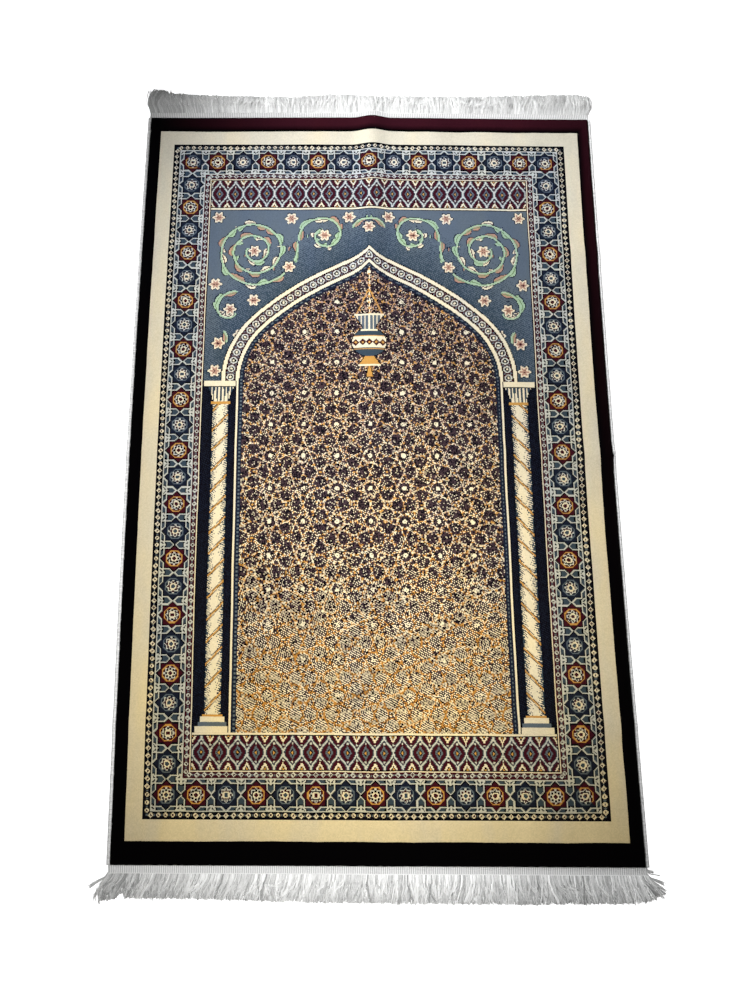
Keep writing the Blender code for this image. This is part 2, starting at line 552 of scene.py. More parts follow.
def trellis(x, y, rise):
    u = folded(x, TRELLIS_WIDTH)
    v = folded(y, rise)
    off_line = u - TRELLIS_WIDTH / 4 * (1 + cosine(2 * math.pi / rise * v))
    inside = off_line < 0
    u = pick(inside, TRELLIS_WIDTH / 2 - u, u)
    v = pick(inside, rise / 2 - v, v)
    colour = ringed(WINE, abs(off_line), (2.5, STEEL), (1.1, PALE))
    colour = ringed(colour, u / 5.4 + v / 9, (1, paint(SLATE, inside, CREAM)), (0.55, INK), (0.28, GOLD))
    return paint(colour, length(u, v - 11.5) < 1.3, PALE)


HAUNCH_X = NICHE_HALF - HAUNCH
CROWN_X = HAUNCH_X - (CROWN - HAUNCH) * math.cos(TURN)
CROWN_Y = SPRING - (CROWN - HAUNCH) * math.sin(TURN)


def arch(out, y):
    """How far outside the niche's opening a point lies, and how far along the arch. out is its distance
    from the middle line."""
    y = y - TIP * exponential(out / -TIP_REACH)
    x_1, y_1 = out - HAUNCH_X, y - SPRING
    x_2, y_2 = out - CROWN_X, y - CROWN_Y
    on_haunch = x_1 * math.sin(TURN) - y_1 * math.cos(TURN) > 0
    outside = pick(on_haunch, length(x_2, y_2) - CROWN, length(x_1, y_1) - HAUNCH)
    on_crown_run = (HAUNCH + BAND_MIDDLE) * TURN + (CROWN + BAND_MIDDLE) * (angle_of(y_2, x_2) - TURN)
    return outside, pick(on_haunch, on_crown_run, (HAUNCH + BAND_MIDDLE) * angle_of(y_1, x_1))


Scroll = namedtuple("Scroll", "x y radius hand start", defaults=(1, 0))
SCROLLS = (
    Scroll(173, 316, 67, 1, 2.89),
    Scroll(67, 343, 41, 1, -0.25),
    Scroll(207, 221, 31, -1, 1.92),
    Scroll(222, 167, 21, 1, 1.9),
    Scroll(226, 124, 11),
    Scroll(0, 355, 25),
    Scroll(229, 373, 11),
    Scroll(118, 371, 13),
    Scroll(120, 290, 12),
    Scroll(30, 373, 11),
    Scroll(172, 236, 11),
    Scroll(230, 262, 11),
    Scroll(192, 180, 9),
)
VINE_PITCH = 19
VINE_EDGE = 7


def scrolls(out, y, outside, chance):
    """Vines that wind in to a rosette, with a leaf at each step, on a ground that is deeper by the arch."""
    inside = 0 * out
    own = [inside, inside, inside + 1, inside, inside]
    for scroll in SCROLLS:
        within = length(out - scroll.x, y - scroll.y) < scroll.radius
        own = [pick(within, before, number) for before, number in zip(own, scroll)]
        inside = most(inside, within)
    middle_x, middle_y, radius, hand, start = own
    r = length(out - middle_x, y - middle_y)
    angle = angle_of(y - middle_y, out - middle_x)
    turn = frac((angle - start) * hand / (2 * math.pi))
    gap = VINE_EDGE * most(clamp(5 * turn), r - radius < -0.8 * VINE_PITCH)
    spiral = (r - radius + gap) / VINE_PITCH + turn
    index = rounded(spiral)
    off_vine = (spiral - index) * VINE_PITCH
    wound = turn - index
    vine_radius = radius - gap - VINE_PITCH * wound
    there = inside * (wound > 0) * (vine_radius > 10.5) * (radius > 15)
    step = wound * most(rounded(vine_radius * (2 * math.pi / VINE_PITCH)), 3)
    leaf_index = floor(step)
    step = step - leaf_index
    w = off_vine * pick(frac(leaf_index / 2) * 2, -1, 1)
    leaf_edge = 9.4 * root(clamp(step)) * (1.04 - step) * 1.9
    third = frac(leaf_index / 3) * 3
    tone = paint(paint(CREAM, third < 1.5, MINT), third < 0.5, ROSE)
    vein = paint(WINE, third < 1.5, GREEN)
    colour = painted(
        paint(SLATE, chance < 0.85 - (outside - BAND_WIDTH) / 90, STEEL),
        (there * (abs(off_vine) < 2.6), NAVY),
        (there * (w > 0.2) * (w < leaf_edge + 1.5), NAVY),
        (there * (w > 1) * (w < leaf_edge), paint(tone, near(w, leaf_edge * 0.45, 0.75), vein)),
        (there * (abs(off_vine) < 1.4), MINT),
    )
    petals = r - 1.7 * cosine(6 * angle) + 1000 * (1 - inside)
    return ringed(colour, petals, (9.6, NAVY), (8.2, CREAM), (5.4, ROSE), (1.3, WINE))


LATTICE_CELL = 47.5
LATTICE_LINE = 0.85
FADE_LENGTH = 665  # how far from the near panel the ground is still fading
STAR_SHARE = 0.3827  # from a star's middle to its lines, as a share of half the cell


def lattice(x, y, chance, other_chance):
    """Eight-pointed stars in gold and cream, on a ground that fades from dark to cream to the near end."""
    half = LATTICE_CELL / 2
    u = folded(x, LATTICE_CELL)
    v = folded(y - PANEL_NEAR, LATTICE_CELL)
    high, low = most(u, v), least(u, v)
    slant = (high + low) * DIAGONAL
    steep, flat = math.cos(math.radians(22.5)), math.sin(math.radians(22.5))
    sides = (
        steep * high + flat * low,
        steep * high - flat * low,
        flat * high + steep * low,
        steep * low - flat * high,
    )
    lines = least(*(abs(side - STAR_SHARE * half) for side in sides))
    octagon = most(high, slant)
    corner = most(half - low, half * 2 * DIAGONAL - slant)
    rings = least(abs(octagon - 0.4 * half), abs(corner - 0.22 * half))
    dots = least(length(low, half * 0.8 - high), length((high - low) * DIAGONAL, slant - half * 0.8))
    up_share = clamp((y - PANEL_NEAR) / FADE_LENGTH)
    dark = chance > most(0.46 - up_share, 0.07)
    tone_chance = frac(other_chance * 7)
    shadow = paint(INK, tone_chance < 0.5, PLUM)
    line = painted(
        CREAM,
        (tone_chance < most(0.92 - 1.4 * up_share, 0.22), paint(GOLD, up_share < 0.42, OCHRE)),
        (tone_chance > 1.35 - 1.2 * up_share, TAN),
    )
    line = paint(shadow, other_chance < 0.8 - 0.22 * up_share, line)
    return painted(
        paint(CREAM, dark, shadow),
        (least(rings + 0.15, lines) < LATTICE_LINE, line),
        (octagon < 0.13 * half, paint(INK, dark, CREAM)),
        (least(dots + 0.3, corner) < 1.6, paint(INK, dark, GOLD)),
    )


SHAFT_HALF = 11.5
CAPITAL_FOOT = 76
Step = namedtuple("Step", "middle reach half tone")
COLUMN_STEPS = (
    Step(75, 2.1, 14, GOLD),
    Step(104.5, 3.6, 24.5, CREAM),
    Step(100.2, 0.7, 24.5, INK),
    Step(-381, 4.2, 23.5, CREAM),
    Step(-374, 2.8, 19.5, SLATE),
    Step(-368, 3.4, 16.5, CREAM),
    Step(-362.5, 1.5, 13.5, GOLD),
)


def columns(out, y, chance):
    """A twisted shaft on a stepped foot, with a flared capital."""
    across = out - COLUMN_X
    e = abs(across)
    lit = chance < 1.02 - e * e * (0.9 / SHAFT_HALF**2)
    twist = abs(frac((y + 1.1 * across) / 30) - 0.5)
    shaft = paint(paint(STEEL, lit, CREAM), twist < 0.05, GOLD)
    up = (y - CAPITAL_FOOT) / 26
    flare = SHAFT_HALF + 9.5 * clamp(up) * clamp(up)
    return painted(
        paint(INK, chance < 0.3, NAVY),
        (e < SHAFT_HALF, paint(shaft, near(twist, 0.09, 0.022), NAVY)),
        ((e < flare) * (y > CAPITAL_FOOT), paint(CREAM, folded(e, 5.2) < 0.7 + 1.2 * up, STEEL)),
        *((near(y, step.middle, step.reach) * (e < step.half), step.tone) for step in COLUMN_STEPS),
    )


LAMP_Y = 168


def flared(out, v, middle, half, waist, radius, slope):
    """How far outside a turned shape a point lies. It is round its middle and flares from its waist."""
    return most(abs(v - middle) - half, out - slope * abs(v - waist) - radius)


def lamp(colour, out, y):
    """A hanging lamp on its chain, painted over the lattice."""
    v = y - LAMP_Y
    e = abs(v)
    on_chain = (v > 46) * (v < 118)
    globe = length(out, v * 1.12) - 25
    neck = flared(out, v, 31, 12, 24, 9, 0.62)
    foot = flared(out, v, -29, 7, -22, 6, 0.75)
    finial = flared(out, v, -45, 9, -36, 1, 0.22)
    glass = ringed(paint(STEEL, e < 9, CREAM), folded(out, 10) + e, (5.5, WINE), (2.2, GOLD))
    return painted(
        colour,
        ((out < 0.8) * on_chain, CREAM),
        ((out + folded(v, 9) < 2.2) * on_chain, GOLD),
        (near(out, 42 - 0.5 * v, 0.8) * (v > 44) * (v < 84), GOLD),
        (least(globe, neck, foot, finial) < 1.5, INK),
        (finial < 0, GOLD),
        (globe < 0, paint(glass, near(e, 10.4, 0.8), GOLD)),
        (neck < 0, paint(SLATE, folded(out, 6) < 0.9, CREAM)),
        (near(v, 43.5, 1.6) * (out < 22), CREAM),
        (near(v, 19.5, 1.2) * (out < 12), CREAM),
        (foot < 0, GOLD),
        (near(v, -36, 1.2) * (out < 17), CREAM),
    )


ROSETTE_PITCH = 13.15


def arch_band(outside, along):
    """The cream-edged band round the arch, with a row of rosettes."""
    a = folded(along - ROSETTE_PITCH / 2, ROSETTE_PITCH)
    b = abs(outside - BAND_MIDDLE)
    colour = paint(INK, b < 6.3, WINE)
    colour = ringed(colour, length(a, b), (5.4, PALE), (3.6, INK), (1.8, CREAM))
    colour = paint(colour, ROSETTE_PITCH / 2 - a + abs(b - 4.5) < 1.7, SLATE)
    return paint(colour, least(abs(outside - 2.5), abs(outside - 23)) < 2.55, CREAM)


def opening_edge(colour, outside, y):
    """The dark line with small diamonds just inside the niche's opening."""
    there = near(outside, -3.5, 3.5)
    diamond = folded(y, 5.5) + abs(outside + 3.5) < 1.6
    return painted(colour, (there, NAVY), (there * diamond, SLATE))


def arch_zone(x, y, chance, other_chance):
    """From where the arch springs to the far panel."""
    out = abs(x)
    outside, along = arch(out, y)
    colour = lamp(lattice(x, y, chance, other_chance), out, y)
    colour = opening_edge(colour, outside, y)
    colour = paint(colour, outside > 0, arch_band(outside, along))
    return paint(colour, outside > BAND_WIDTH, scrolls(out, y, outside, chance))


def niche_zone(x, y, chance, other_chance):
    """From the near panel to where the arch springs."""
    out = abs(x)
    outside = out - NICHE_HALF
    return painted(
        opening_edge(lattice(x, y, chance, other_chance), outside, y),
        (outside > 0, CREAM),
        (outside > 2.8, INK),
        (outside > 4.2, columns(out, y, chance)),
    )


# ---- Materials ----

FRAY = 0.9  # how far the fibres at a knot's edge stray over its neighbour
FRAY_SCALE = 1.3
WANDER = 2.6  # how far the rows of knots wander from straight lines
SPREAD_X = 0.7549  # steps that spread the mixed knots of a faded ground evenly
SPREAD_Y = 0.5698
PILE_DEPTH = 0.675  # how much deeper cut pile looks than the same yarn lying flat
PILE_TONE = 0.9
KNOT_SHADE = 0.13  # how much one knot's brightness differs from the next
CLOUD_SHADE = 0.4  # and one patch of the pile's
FIBRE_SHADE = 0.18
RIM_TOP = 1.3  # the backing shows below this height at the rug's edges
PILE_BUMP = 0.0004
BACKING_BUMP = 0.0004
YARN_BUMP = 0.00018
HEADING_BUMP = 0.00022
NEAR_PAINTED_WARM_LIGHT = (1.0, 0.85, 0.54, 1.0)  # painted light: the pile is tinted warmer towards the near end, standing in for warmer light there and paler highlights at the far end
LEAST_SHADE_ALONG = 21.0  # where along a loose yarn its painted shade is least
YARN_SPREAD = 0.6  # how much the yarns and their fibres differ in brightness


def pile_material(name, design):
    """Cut pile: each knot has the design's colour at its middle, and is frayed and slightly uneven."""
    material, place = new_material(name)
    x, y, height = apart(place)
    fray_x, fray_y, fray_z = apart(noise(place, FRAY_SCALE, detail=1.0)[1])
    cloudy, drift = noise(together(x, y * 0.35), 0.02, detail=3.0)
    drift_x, drift_y, _ = apart(drift)
    column = floor((x + (fray_x - 0.5) * FRAY + (drift_x - 0.5) * WANDER + HALF_WIDTH) / KNOT_WIDTH)
    row = floor((y + (fray_y - 0.5) * FRAY + (drift_y - 0.5) * WANDER + HALF_LENGTH) / KNOT_LENGTH)
    own_chance, other_chance, shade_chance = chances(column, row)
    chance = frac(column * SPREAD_X + row * SPREAD_Y + 0.22 * own_chance)
    knot_x = (column + 0.5) * KNOT_WIDTH - HALF_WIDTH - FIELD_SHIFT
    knot_y = (row + 0.5) * KNOT_LENGTH - HALF_LENGTH
    colour = design(knot_x, knot_y, chance, other_chance)
    # painted light: the warm tint rises towards the near end, broken up by soft patches of the pile
    warmth = clamp(0.5 - y / (2 * HALF_LENGTH) + 1.2 * (cloudy - 0.5))
    colour = mixed("RGBA", warmth, colour, NEAR_PAINTED_WARM_LIGHT, blend="MULTIPLY")
    shade = PILE_TONE + KNOT_SHADE * (shade_chance - 0.5)
    shade = shade + CLOUD_SHADE * (cloudy - 0.5) + FIBRE_SHADE * (fray_z - 0.5)
    colour = shaded(colour, shade * PILE_DEPTH)
    if design is outer_border:
        colour = paint(colour, height < RIM_TOP, BACKING)
    u = frac((x + HALF_WIDTH) / KNOT_WIDTH) - 0.5
    v = frac((y + HALF_LENGTH) / KNOT_LENGTH) - 0.5
    relief = (1 - 3 * u * u) * (1 - 3 * v * v) + 1.3 * noise(place, 1.9)[0]
    return bumped(dressed(material, colour, 0.8 + 0.25 * fray_z, 0.02), relief, PILE_BUMP)


def woven(x, y, pitch_x, pitch_y):
    """The height of a plain weave, 0 to 1."""
    warp = abs(sine(x * (math.pi / pitch_x)))
    weft = abs(sine(y * (math.pi / pitch_y)))
    over = frac((floor(x / pitch_x) + floor(y / pitch_y)) / 2) * 2
    return pick(over, warp, weft)


def backing_material():
    """The flat woven underside."""
    material, place = new_material("backing")
    x, y, _ = apart(place)
    weft_pitch = KNOT_LENGTH / 2
    weave = woven(x, y, KNOT_WIDTH, weft_pitch)
    grey, _ = noise(place, 0.05, detail=4.0)
    thread = chances(floor(x / KNOT_WIDTH), floor(y / weft_pitch))[0]
    # painted shade: the hollows of the weave are painted darker
    shade = 0.72 + 0.16 * weave + 0.1 * thread + 0.2 * (grey - 0.5)
    colour = shaded(paint(BACKING, grey, BACKING_DEEP), shade)
    return bumped(dressed(material, colour, 0.85 + 0.1 * thread, 0.2), weave, BACKING_BUMP)


def yarn_material(name, twist_pitch, lightness, painted_shade_fade):
    """Plied yarn, with painted shade that darkens it towards its ends by painted_shade_fade for each mm. The
    cloth attribute has its length, its turn round itself and a chance of each strand's own."""
    material, place = new_material(name)
    along, around, chance = apart(place)
    ply = 0.5 + 0.5 * cosine((around * 2 + along / twist_pitch + chance * 9.0) * (2 * math.pi))
    fibres, _ = noise(together(along * 0.6, around * 4.0, chance * 90.0), 1.0, detail=3.0)
    # painted shade: the yarn is painted darker towards its root and its tip, and darker in the hollows of its
    # twist
    shade = lightness - painted_shade_fade * abs(along - LEAST_SHADE_ALONG)
    shade = shade + 0.1 * ply + YARN_SPREAD * (chance - 0.5) + YARN_SPREAD * (fibres - 0.5)
    dressed(material, shaded(WHITE, shade), 0.62 + 0.3 * fibres, 0.25, sheen=0.15)
    return bumped(material, ply + 0.6 * fibres, YARN_BUMP)


def heading_material():
    """The ribbed woven heading that the fringe hangs from."""
    material, place = new_material("heading_weave")
    x, y, _ = apart(place)
    weave = woven(x, y, RIB_PITCH / MM / 4, 0.55)
    fibres, _ = noise(place, 2.2)
    rib = abs(cosine((x / (RIB_PITCH / MM) + RIB_DRIFT * sine(x / (RIB_DRIFT_REACH / MM))) * math.pi))
    on_rib = most(rib, abs(y) > HALF_LENGTH + (STITCH_ROW - 0.05) * TAPE_WIDTH / MM)
    # painted shade: the grooves between the ribs and the hollows of the weave are painted darker, and the far
    # heading is painted darker all over
    shade = 0.37 + 0.08 * weave + 0.1 * fibres + 0.48 * on_rib - 0.13 * (y > 0.0)
    dressed(material, shaded(WHITE, shade), 0.66 + 0.25 * fibres, 0.25, sheen=0.12)
    return bumped(material, weave + 0.5 * fibres, HEADING_BUMP)


# ---- The pile ----

GRID_PITCH = 0.00345
UNDERSIDE_STEP = 4  # grid squares of the pile to one of the underside
EDGE_CUTS = (0.0, 0.0004, 0.0011, 0.0022, 0.004)
ZONES = ("edge", "ring", "panel", "arch", "niche", "backing")  # in the order of zone_index
RIM_FRAY = 0.0005
EVEN_RIM = 0.02  # the unevenness fades out this close to the edges
PILE_ROUGHNESS = 0.00004

# A worn spot where the middle fold meets the right side: the pile pokes out through the overcasting
WORN_Y = 0.0
WORN_REACH = 0.0032
WORN_BULGE = 0.0024


def grid_lines(size, knot, breaks):
    """Where the pile's grid is cut across one direction: round its edges, and evenly between the breaks, each
    of which moves to the line between knots where its part of the design begins."""
    half = size / MM / 2
    breaks = [(math.ceil((place + half) / knot - 0.5) * knot - half) * MM for place in breaks]
    edges = [size / 2 - cut for cut in EDGE_CUTS]
    fixed = sorted([-edges[-1], *breaks, edges[-1]])
    lines = [-place for place in edges[:-1]]
    for start, end in zip(fixed, fixed[1:]):
        lines.extend(np.linspace(start, end, math.ceil((end - start) / GRID_PITCH) + 1)[:-1])
    return np.array(sorted(lines + edges[::-1]))


def zone_index(x, y):
    """Which zone of the design each face belongs to, from its middle in millimetres."""
    depth = np.minimum(FIELD_HALF - np.abs(x - FIELD_SHIFT), np.minimum(FIELD_FAR - y, y - FIELD_NEAR))
    tests = (depth < 0, depth < RING_WIDTH, (y > PANEL_FAR) | (y < PANEL_NEAR), y > SPRING)
    return np.select(tests, range(len(tests)), len(tests))


def every(step, count):
    return np.array(sorted({*range(0, count, step), count - 1}))


def grid_quads(numbers):
    """Faces between the points of a grid, facing up where x is its first axis and y the second."""
    corners = numbers[:-1, :-1], numbers[1:, :-1], numbers[1:, 1:], numbers[:-1, 1:]
    return stacked(*corners).reshape(-1, 4)


def wall_faces(upper, lower, step_ends):
    """Faces between a run of points and a coarser run below it, which has the points at step_ends."""
    faces = []
    for k, (start, end) in enumerate(zip(step_ends, step_ends[1:])):
        middle = (start + end) // 2
        faces += [[lower[k], upper[i + 1], upper[i]] for i in range(start, middle)]
        faces.append([lower[k], lower[k + 1], upper[middle]])
        faces += [[lower[k + 1], upper[i + 1], upper[i]] for i in range(middle, end)]
    return faces


def pile_top(x, y):
    """Where the pile's face lies, and its height over the underside."""
    from_side, from_end = RUG_WIDTH / 2 - np.abs(x), RUG_LENGTH / 2 - np.abs(y)
    rng = np.random.default_rng(5)
    height = np.minimum(pile_height(from_side, SIDE_RIM), pile_height(from_end, END_RIM))
    height += unevenness(x, y) * np.minimum(1, np.minimum(from_side, from_end) / EVEN_RIM)
    height += rng.normal(0, PILE_ROUGHNESS, x.shape)
    frayed = RIM_FRAY * rng.random(x.shape)
    flat_x, flat_y = fitted(x, y)
    flat_x = flat_x - np.sign(x) * frayed * (from_side < EDGE_CUTS[2])
    flat_y = flat_y - np.sign(y) * frayed * (from_end < EDGE_CUTS[2])
    flat_x = flat_x + WORN_BULGE * bell(y - WORN_Y, WORN_REACH) * bell(x - RUG_WIDTH / 2, 0.003)
    return stacked(flat_x, flat_y, lift(x, y) + height), height


def make_pile(materials):
    breaks_x = [FIELD_SHIFT + half for half in (-FIELD_HALF, -INNER_HALF, INNER_HALF, FIELD_HALF)]
    breaks_y = (FIELD_NEAR, INNER_NEAR, PANEL_NEAR, SPRING, PANEL_FAR, INNER_FAR, FIELD_FAR)
    columns_at = grid_lines(RUG_WIDTH, KNOT_WIDTH, breaks_x)
    rows_at = grid_lines(RUG_LENGTH, KNOT_LENGTH, breaks_y)
    x, y = np.meshgrid(columns_at, rows_at, indexing="ij")
    top, height = pile_top(x, y)
    i, j = every(UNDERSIDE_STEP, len(columns_at)), every(UNDERSIDE_STEP, len(rows_at))
    under_x, under_y = x[np.ix_(i, j)], y[np.ix_(i, j)]
    under = stacked(*fitted(under_x, under_y), lift(under_x, under_y))
    upper = np.arange(x.size).reshape(x.shape)
    lower = x.size + np.arange(under_x.size).reshape(under_x.shape)
    top_quads = grid_quads(upper)
    under_quads = grid_quads(lower)[:, ::-1]
    walls = (
        wall_faces(upper[:, 0], lower[:, 0], i)
        + [face[::-1] for face in wall_faces(upper[:, -1], lower[:, -1], i)]
        + [face[::-1] for face in wall_faces(upper[0], lower[0], j)]
        + wall_faces(upper[-1], lower[-1], j)
    )
    points = np.concatenate([top.reshape(-1, 3), under.reshape(-1, 3)])
    cloth = [stacked(x, y, height).reshape(-1, 3), stacked(under_x, under_y, 0).reshape(-1, 3)]
    cloth = np.concatenate(cloth) / MM
    faces = top_quads.tolist() + under_quads.tolist() + walls
    piece = new_piece("rug_pile", points, faces, cloth, materials, sharp_angle=55)
    middle = cloth[top_quads].mean(axis=1)
    zones = np.concatenate([
        zone_index(middle[:, 0], middle[:, 1]),
        np.full(len(under_quads), ZONES.index("backing")),
        np.full(len(walls), ZONES.index("edge")),
    ])
    piece.data.polygons.foreach_set("material_index", zones.astype(np.int32))
    add_map(piece.data, cloth, len(top_quads), len(under_quads))
    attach(piece, "root")
    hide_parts("rug")
    return piece


MAP_TOP = 0.93  # the share of the map that the pile's face takes
MAP_UNDER = 0.97  # where the underside ends on the map
MAP_EDGES = 0.98  # and where the edges begin
MAP_MARGIN = 0.004


def add_map(mesh, cloth, top_count, under_count):
    """A flat map of the rug: the pile's face, then the underside, then its edges, all along the length."""
    loops = np.zeros(len(mesh.loops), np.int32)
    mesh.loops.foreach_get("vertex_index", loops)
    x, y, height = cloth[loops].T
    along = y / (2 * HALF_LENGTH) + 0.5
    across = x / (2 * HALF_WIDTH) + 0.5
    part = np.arange(len(loops)) // 4
    faces_on = (part < top_count, part < top_count + under_count)
    v = np.select(faces_on, (
        MAP_MARGIN + across * (MAP_TOP - 2 * MAP_MARGIN),
        MAP_TOP + across * (MAP_UNDER - MAP_TOP),
    ), MAP_EDGES + 0.015 * height / (RUG_THICKNESS / MM))
    by_end = (np.abs(y) > HALF_LENGTH - 0.01) & ~faces_on[1]
    u = MAP_MARGIN + np.where(by_end, across, along) * (1 - 2 * MAP_MARGIN)
    layer = mesh.uv_layers.new(name="OFBake")
    layer.data.foreach_set("uv", stacked(u, v).ravel().astype(np.float32))


# ---- The overcast sides, the headings and the fringes ----

WRAP_PITCH = 0.00155  # from one turn of the overcasting yarn to the next
WRAP_STEPS = 5
SIDE_ROUND = 10
CORE_SHARE = 0.74  # the radius between two turns, as a share of the cord's
SIDE_HALF_WIDTH = 0.0028  # the overcasting lies a little flat and full round its cord
SIDE_INSET = 0.0002  # how far it wraps over the rug's edge
SIDE_HALF_HEIGHT = 0.002
WORN_THINNING = 0.62  # how much thinner the turns are at the worn spot
WRAP_TONES = (0.36, 0.64)


def make_side(name, side, node, material):
    """Yarn wound round the rug's side: ridges that run round the cord as a screw does."""
    rng = np.random.default_rng(11 + side)
    count = round(RUG_LENGTH / WRAP_PITCH) * WRAP_STEPS
    y = np.linspace(-RUG_LENGTH / 2, RUG_LENGTH / 2, count + 1)
    rug_side = np.full_like(y, side * RUG_WIDTH / 2)
    turns = (y + RUG_LENGTH / 2) / WRAP_PITCH + 0.35 * np.sin(y / 0.019) + 0.2 * np.sin(y / 0.0077)
    around = np.linspace(0, 1, SIDE_ROUND, endpoint=False)
    ridge = np.abs(np.cos(np.pi * (upright(turns) - around))) ** 0.7
    wobble = np.interp(y, y[::15], rng.normal(0, 0.04, len(y[::15])))
    worn = WORN_THINNING * bell(y - WORN_Y, WORN_REACH) * (side > 0)
    size = (CORE_SHARE + (1 - CORE_SHARE) * ridge) * upright(1 - np.abs(wobble)) * upright(1 - worn)
    edge_x, edge_y = fitted(rug_side, y)
    centre_x = edge_x + side * (SIDE_HALF_WIDTH * (1 + 0.8 * worn) - SIDE_INSET)
    centre_z = SIDE_HALF_HEIGHT * (1 - 0.5 * worn) + lift(rug_side, y)
    angle = 2 * np.pi * around
    points, faces = skin(stacked(
        upright(centre_x) + SIDE_HALF_WIDTH * size * np.cos(angle),
        upright(edge_y),
        upright(centre_z) - SIDE_HALF_HEIGHT * size * np.sin(angle),
    ))
    turn = np.floor(turns).astype(int)
    # painted shade: the right side is painted darker towards the near end; the tones of the turns otherwise
    # differ at random
    tone = rng.uniform(*WRAP_TONES, turn.max() + 2)[turn] - 0.14 * (0.5 - y / RUG_LENGTH) * (side > 0)
    piece = new_piece(name, points, faces, stacked(upright(y / MM), around, upright(tone)), [material])
    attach(piece, "root")
    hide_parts(node)
    return piece


RIB_PITCH = 0.0028
RIB_STEPS = 6
RIB_HEIGHT = 0.0007
RIB_DRIFT = 0.08  # how far the ribs stray from even places, in ribs
RIB_DRIFT_REACH = 0.023
TAPE_BASE = 0.0013
TAPE_RISE = 0.0016  # how much fuller the heading is where it is sewn to the rug
TAPE_FALL = 0.0005  # and how much thinner beyond its stitches
TAPE_ROWS = (0.0, 0.03, 0.07, 0.13, 0.25, 0.38, 0.51, 0.63, 0.69, 0.73, 0.77, 0.81, 0.86, 0.93, 1.0)
TAPE_RIM = 0.0005
STITCH_ROW = 0.76  # where the yarns are stitched down, as a share of the heading's width


def tape_edge(end, x):
    """How far out the heading starts at x, and how high the cloth lies there."""
    on_rug = np.clip(x, -RUG_WIDTH / 2, RUG_WIDTH / 2)
    return np.abs(end_y(end, on_rug)) + GAP, lift(x, np.full_like(x, end * RUG_LENGTH / 2))


def tape_surface(x, share):
    """The heading's thickness at x and at a share of its width: ribs, a row of stitches and a thin edge."""
    phase = x / RIB_PITCH + RIB_DRIFT * np.sin(x / RIB_DRIFT_REACH)
    rib = np.abs(np.cos(np.pi * phase))
    ribs = rib**0.8 * np.clip((STITCH_ROW - 0.03 - share) / 0.04, 0, 1)
    stitches = bell(share - STITCH_ROW, 0.055) * (0.95 + 0.25 * rib)
    base = TAPE_BASE + TAPE_RISE * np.clip(1 - share / 0.4, 0, 1)
    base = base - TAPE_FALL * np.clip((share - STITCH_ROW) / 0.06, 0, 1)
    swell = np.clip((1 - share) / 0.04, 0, 1) ** 0.5
    return TAPE_RIM + swell * (base - TAPE_RIM) + RIB_HEIGHT * np.maximum(ribs, stitches)


def make_heading(fringe, material):
    x = np.linspace(-TAPE_HALF, TAPE_HALF, round(2 * TAPE_HALF / RIB_PITCH) * RIB_STEPS + 1)
    inner, floor_height = tape_edge(fringe.end, x)
    shares = np.array(TAPE_ROWS)
    round_end = upright(np.clip((TAPE_HALF - np.abs(x)) / 0.0012, 0.25, 1))
    y = upright(inner) + shares * TAPE_WIDTH + 0.00025 * upright(np.sin(x / 0.041)) * shares
    top = stacked(upright(x), y, upright(floor_height) + tape_surface(upright(x), shares) * round_end)
    under = stacked(top[:, [-1, 0], 0], top[:, [-1, 0], 1], upright(floor_height))
    sections = np.concatenate([top, under], axis=1) * (1, fringe.end, 1)
    if fringe.end > 0:
        sections = sections[:, ::-1]
    cloth = (sections - floor_height[:, None, None] * (0, 0, 1)) / MM
    points, faces = skin(sections)
    piece = new_piece("heading_" + fringe.name, points, faces, cloth, [material], sharp_angle=70)
    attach(piece, "root")
    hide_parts("fringe_" + fringe.name)
    return piece


STRAND_COUNT = 3340  # of a fringe's yarns, its loose locks apart
STRAND_STEPS = 10
STRAND_SIDES = 3
STRAND_RADIUS = 0.00036
STRAND_FLATNESS = 1.6  # how much wider than thick a loose yarn lies
STRAND_TAPER = 0.25
CROSSING_SHARE = 0.45  # the share of the yarns that lie over the others
CORNER_REACH = 0.012  # how far in from each corner the yarns keep together
TUFT_WIDTH = 0.0017
HUMP = 0.003  # how high the topmost yarns arch over the others
WAVES = 2.4  # how many times a yarn waves from side to side


def eased(share):
    share = np.clip(share, 0, 1)
    return share * share * (3 - 2 * share)


def smooth_chance(rng, x, pitch, half):
    """Random numbers of about unit size that change smoothly along x, a new one every pitch."""
    places = np.arange(-half - 2 * pitch, half + 2 * pitch, pitch)
    values = rng.normal(0, 1, len(places))
    at = (x - places[0]) / pitch
    k = np.clip(at.astype(int), 0, len(places) - 2)
    share = eased(at - k)
    return values[k] * (1 - share) + values[k + 1] * share


def run_up(slope, t):
    """How far each line has come at each t, from nothing at the first, where it climbs by slope."""
    steps = (slope[:, 1:] + slope[:, :-1]) / 2 * np.diff(t, axis=1)
    return np.concatenate([np.zeros((len(slope), 1)), np.cumsum(steps, axis=1)], axis=1)


Yarns = namedtuple("Yarns", "x start length lean tip_lean bend gather curl phase layer width chance")


